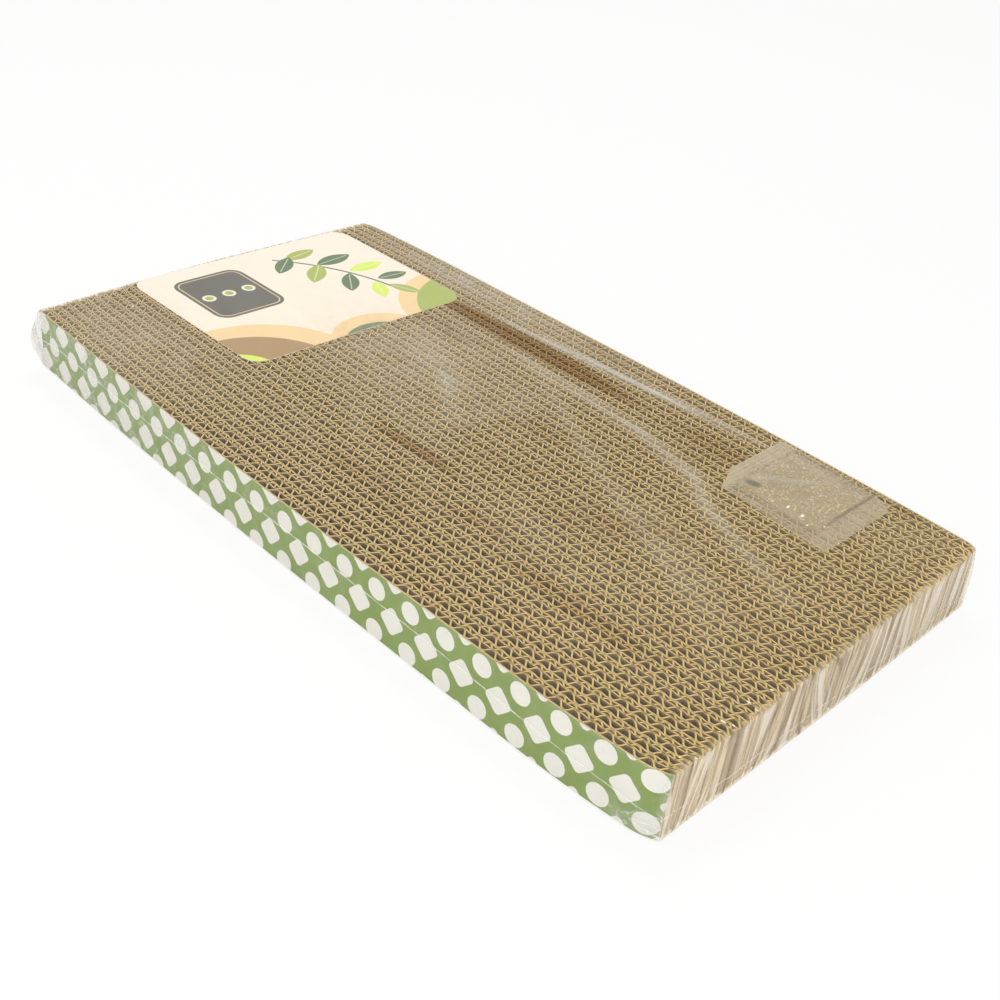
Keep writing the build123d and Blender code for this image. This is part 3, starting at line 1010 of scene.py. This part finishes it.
def side_haze(x, y, z):
    """How white the film over the sides and ends is.

    It is milkier towards the left end, and crinkled white low down at the front right corner.
    """
    if abs(x) > HALF_LENGTH - 0.002:
        return 0.32 + 0.30 * (1 - rise(z, 0.0015, 0.0045))
    crinkled = bump(math.hypot(x - 0.228, (z - 0.004) * 1.4), 0.012)
    side = 0.025 + 0.13 * rise(-x, -0.10, 0.235) + 0.35 * crinkled
    streaks = 1 + 0.9 * noise.noise((x * 150, y * 150, z * 25))
    streaks += 0.5 * noise.noise((x * 420, y * 420, z * 60))
    return side * max(0.0, streaks)


def film_point(x, y, z):
    """Where a point of a plain box of film lies once it is shrunk on to the block."""
    near = [bump(math.dist((x, y), corner), reach) for corner, reach, _ in EARS]
    ear = math.sin(math.pi * clamp(z / BLOCK_TOP)) ** 1.4
    hold = 1 - ear * sum(share * at for (_, _, share), at in zip(EARS, near))
    px, py = squeeze(x, y, hold, z / BLOCK_TOP)
    if abs(x) > HALF_LENGTH:
        crumple = END_CRUMPLE * noise.noise((y * 160, z * 14, 4.0))
        crumple += FINE_CRUMPLE * noise.noise((y * 420, z * 30, 8.0))
        px += math.copysign(max(-IN_CRUMPLE, crumple), x) * ear
    if abs(y) > HALF_WIDTH:
        crumple = SIDE_CRUMPLE * noise.noise((x * 70, z * 60, 6.0)) * (0.4 + 2.0 * (near[0] + near[1]))
        py += math.copysign(max(-IN_CRUMPLE, crumple), y) * ear
    return px, py


def film_finish():
    look = bpy.context.scene.pad_film
    f = Finish("shrink_film")
    vector, x, y, z = f.place()
    nx, _, nz = f.facing()
    haze_and_sheen = f.attribute("haze_and_sheen")
    sag = f.noise(vector, (14, 42, 20), 3.0, 0.55)
    crinkle = f.noise(vector, (120, 260, 60), 3.0, 0.6)
    folds = f.noise(vector, (100, 100, 130))
    pleat = f.noise(f.leaning(vector, x, y, z), (60, 220, 12))
    upright, top = abs(nx).step(0.5, 0.9), nz.step(0.3, 0.7)
    relief = f.relief(sag * 0.9 + crinkle * 0.18 + pleat * upright * 0.8, 0.5, 0.0016)
    # Fine creases on the long sides, and on the ends painted reflections on the pleats with painted shadow
    # in the gaps between them
    creased = crinkle.step(0.5, 0.75) + (1 - abs(folds - 0.5).step(0.0, 0.03)) * 1.8
    scuff = (creased - 0.3) * (1 - top) * (1 - upright) + 1
    # Painted reflections on the pleats, and painted shadow between them
    pleat_sheen = pleat.step(0.5, 0.62)
    pleat_shadow = 1 - pleat.step(0.34, 0.43)
    glints = spots(x, y, FILM_GLINTS) * top
    white = (haze_and_sheen * scuff + (pleat_sheen * 0.4 + pleat_shadow * 0.2) * upright).least(0.85).most(glints)
    tint = f.mix(top * (1 - haze_and_sheen.step(0.22, 0.45)), look.haze_and_sheen_color, look.warm_color)
    pleats = f.mix(pleat_shadow, f.mix(pleat_sheen, look.end_color, look.pleat_sheen_color), look.pleat_shadow_color)
    tint = f.mix(upright * x.step(-0.1, 0.1), tint, pleats)
    milky = f.principled(base_color=tint, roughness=0.4, normal=relief)
    return f.surface(f.glazed(f.film(white, milky), 0.4, 0.09, relief))


def box_grid(shape, clearance, segments):
    """A flat grid over the block's plan and a clearance round it. Gives its size and its rim."""
    size = (PAD_LENGTH + 2 * clearance, PAD_WIDTH + 2 * clearance)
    bmesh.ops.create_grid(shape, x_segments=segments[0], y_segments=segments[1], size=0.5)
    bmesh.ops.scale(shape, vec=(*size, 1), verts=shape.verts)
    return size, [edge for edge in shape.edges if edge.is_boundary]


class PAD_OT_film(Operator):
    """Shrink film round the pad, in two layers that are welded along the sides"""

    bl_idname = "pad.film"
    bl_label = "Shrink film"

    def layer(self, film, over):
        """A sheet over the top or the underside, with its rim drawn along the sides to the weld."""
        shape = bmesh.new()
        segments = [int((side + 2 * film.clearance) / film.cell) for side in (PAD_LENGTH, PAD_WIDTH)]
        size, rim = box_grid(shape, film.clearance, segments)
        for vert in shape.verts:
            vert.co.z = 1.0
        for step in range(RIM_STEPS):
            drawn = bmesh.ops.extrude_edge_only(shape, edges=rim)["geom"]
            rim = [item for item in drawn if isinstance(item, bmesh.types.BMEdge)]
            for vert in {v for edge in rim for v in edge.verts}:
                vert.co.z = 1 - (step + 1) / RIM_STEPS
        haze_and_sheen = shape.verts.layers.float.new("haze_and_sheen")
        for vert in shape.verts:
            x, y, share = vert.co
            weld = weld_height(x, y)
            on_face = share == 1.0
            if over:
                inside = abs(x) < size[0] / 2 - 1e-6 and abs(y) < size[1] / 2 - 1e-6
                top = BLOCK_TOP + (film_top(x, y) if inside else RIM_LIFT)
                z = weld + share * (top - weld)
            else:
                z = weld - share * (weld - UNDER_LEVEL)
            if on_face and not over:
                vert[haze_and_sheen] = UNDER_HAZE
            else:
                vert[haze_and_sheen] = top_haze_and_sheen(x, y) if z > BLOCK_TOP else side_haze(x, y, z)
            face_z = BLOCK_TOP if over else 0.0
            vert.co = (*film_point(x, y, face_z if on_face else z), z)
        shape.normal_update()
        shape.faces.ensure_lookup_table()
        if (shape.faces[0].normal.z > 0) != over:
            bmesh.ops.reverse_faces(shape, faces=shape.faces)
        return shape

    def execute(self, context):
        film = context.scene.pad_film
        material = film_finish()
        upper = make_piece("upper_film", self.layer(film, True), material, ["film_upper"], 50)
        lower = make_piece("lower_film", self.layer(film, False), material, ["film_lower"], 50)
        return {"FINISHED"}


class PAD_OT_film_weld(Operator):
    """Welded line of the film round the sides"""

    bl_idname = "pad.film_weld"
    bl_label = "Film weld"

    def execute(self, context):
        film = context.scene.pad_film
        shape = bmesh.new()
        rim = box_grid(shape, film.clearance + WELD_OUT, (150, 80))[1]
        inner = shape.faces[:]
        drawn = bmesh.ops.extrude_edge_only(shape, edges=rim)["geom"]
        upper = {item for item in drawn if isinstance(item, bmesh.types.BMVert)}
        bmesh.ops.delete(shape, geom=inner, context="FACES")
        for vert in shape.verts:
            x, y = vert.co.x, vert.co.y
            z = weld_height(x, y) + (HALF_WELD if vert in upper else -HALF_WELD)
            vert.co = (*film_point(x, y, z), z)
        bmesh.ops.recalc_face_normals(shape, faces=shape.faces)
        bmesh.ops.solidify(shape, geom=shape.faces[:], thickness=WELD_THICKNESS)
        f = Finish("film_weld")
        ragged = f.noise(f.place()[0], (300, 300, 900))
        milky = f.principled(base_color=film.weld_color, roughness=0.3)
        material = f.surface(f.film(ragged.step(0.35, 0.7) * 0.3 + 0.1, milky))
        make_piece("film_weld_line", shape, material, ["film_seam"], 50)
        return {"FINISHED"}


# The floor: half its size, its level, and how much of it the camera sees as plain white
FLOOR_SIZE, FLOOR_LEVEL, FLOOR_WHITE = 6, -0.0004, 0.85
DAYLIGHT_TINT = (1.0, 0.985, 0.96)
# Lamps: name, place, width and height, power
LAMPS = (
    ("key", (-0.5, 0.5, 1.5), (0.7, 0.5), 6.0),
    ("front", (0.9, -1.1, 0.9), (0.9, 0.6), 11.0),
    ("fill", (-1.0, -1.2, 0.8), (0.9, 0.6), 3.5),
)
# The camera: width of its sensor, lens in sensor widths, place in metres and turn in degrees
SENSOR, LENS_SHARE = 36.0, 1.31835
CAMERA_PLACE = (0.41301, -0.43904, 0.38208)
CAMERA_TURN = (56.518, -5.946, 45.217)


class PAD_OT_stage(Operator):
    """Pale floor, soft light from all round, three lamps and the camera"""

    bl_idname = "pad.stage"
    bl_label = "Stage"

    def floor(self, look):
        shape = bmesh.new()
        bmesh.ops.create_grid(shape, x_segments=1, y_segments=1, size=FLOOR_SIZE)
        bmesh.ops.translate(shape, vec=(0, 0, FLOOR_LEVEL), verts=shape.verts)
        f = Finish("pale_floor")
        seen = f.node("LightPath", output="Is Camera Ray") * FLOOR_WHITE
        plain = f.node("BsdfDiffuse", {"Color": look.floor_color})
        glow = f.node("Emission", {"Color": WHITE, "Strength": 1.0})
        floor = add_mesh("floor", shape, f.surface(f.blend(seen, plain, glow)))

    def sky(self, look):
        """White to the camera, in reflections and through the film, and soft daylight on the pad."""
        f = Finish("studio", "World")
        camera, glossy, through = (
            f.node("LightPath", output=f"Is {kind} Ray") for kind in ("Camera", "Glossy", "Transmission")
        )
        daylight = f.node("Background", {"Color": DAYLIGHT_TINT, "Strength": look.daylight})
        white = f.node("Background", {"Color": WHITE, "Strength": 1.0})
        return f.surface(f.blend(camera.most(glossy).most(through), daylight, white))

    def execute(self, context):
        scene = context.scene
        scene.view_settings.view_transform = "Standard"
        self.floor(scene.pad_stage)
        scene.world = self.sky(scene.pad_stage)
        for name, place, size, power in LAMPS:
            light = bpy.data.lights.new(name, "AREA")
            light.shape = "RECTANGLE"
            light.size, light.size_y = size
            light.energy = power
            lamp = add(name, light)
            lamp.location = place
            lamp.rotation_euler = (-Vector(place)).to_track_quat("-Z", "Y").to_euler()
        camera = bpy.data.cameras.new("camera")
        camera.sensor_width = SENSOR
        camera.lens = SENSOR * LENS_SHARE
        scene.camera = add("camera", camera)
        scene.camera.location = CAMERA_PLACE
        scene.camera.rotation_euler = [math.radians(angle) for angle in CAMERA_TURN]
        return {"FINISHED"}


GROUPS = {
    "pad_board": BoardSettings,
    "pad_print": PrintSettings,
    "pad_label": LabelSettings,
    "pad_sachet": SachetSettings,
    "pad_film": FilmSettings,
    "pad_stage": StageSettings,
}
PIECES = (
    PAD_OT_board_strips,
    PAD_OT_print_sheets,
    PAD_OT_label_card,
    PAD_OT_sachet,
    PAD_OT_catnip,
    PAD_OT_film,
    PAD_OT_film_weld,
    PAD_OT_stage,
)


class PAD_PT_sidebar(Panel):
    """Pieces of the pad and their settings"""

    bl_label = "Scratching Pad"
    bl_space_type = "VIEW_3D"
    bl_region_type = "UI"
    bl_category = "Scratching Pad"

    def draw(self, context):
        for piece in PIECES:
            self.layout.operator(piece.bl_idname)
        for group in GROUPS:
            box = self.layout.box()
            settings = getattr(context.scene, group)
            for name in GROUPS[group].__annotations__:
                box.prop(settings, name)


def register():
    for kind in (*GROUPS.values(), *PIECES, PAD_PT_sidebar):
        bpy.utils.register_class(kind)
    for name, group in GROUPS.items():
        setattr(bpy.types.Scene, name, PointerProperty(type=group))


def unregister():
    for name in GROUPS:
        delattr(bpy.types.Scene, name)
    for kind in reversed((*GROUPS.values(), *PIECES, PAD_PT_sidebar)):
        bpy.utils.unregister_class(kind)


def main():
    register()
    bpy.ops.pad.board_strips()
    bpy.ops.pad.print_sheets()
    bpy.ops.pad.label_card()
    bpy.ops.pad.sachet()
    bpy.ops.pad.catnip()
    bpy.ops.pad.film()
    bpy.ops.pad.film_weld()
    bpy.ops.pad.stage()


if __name__ == "__main__":
    main()
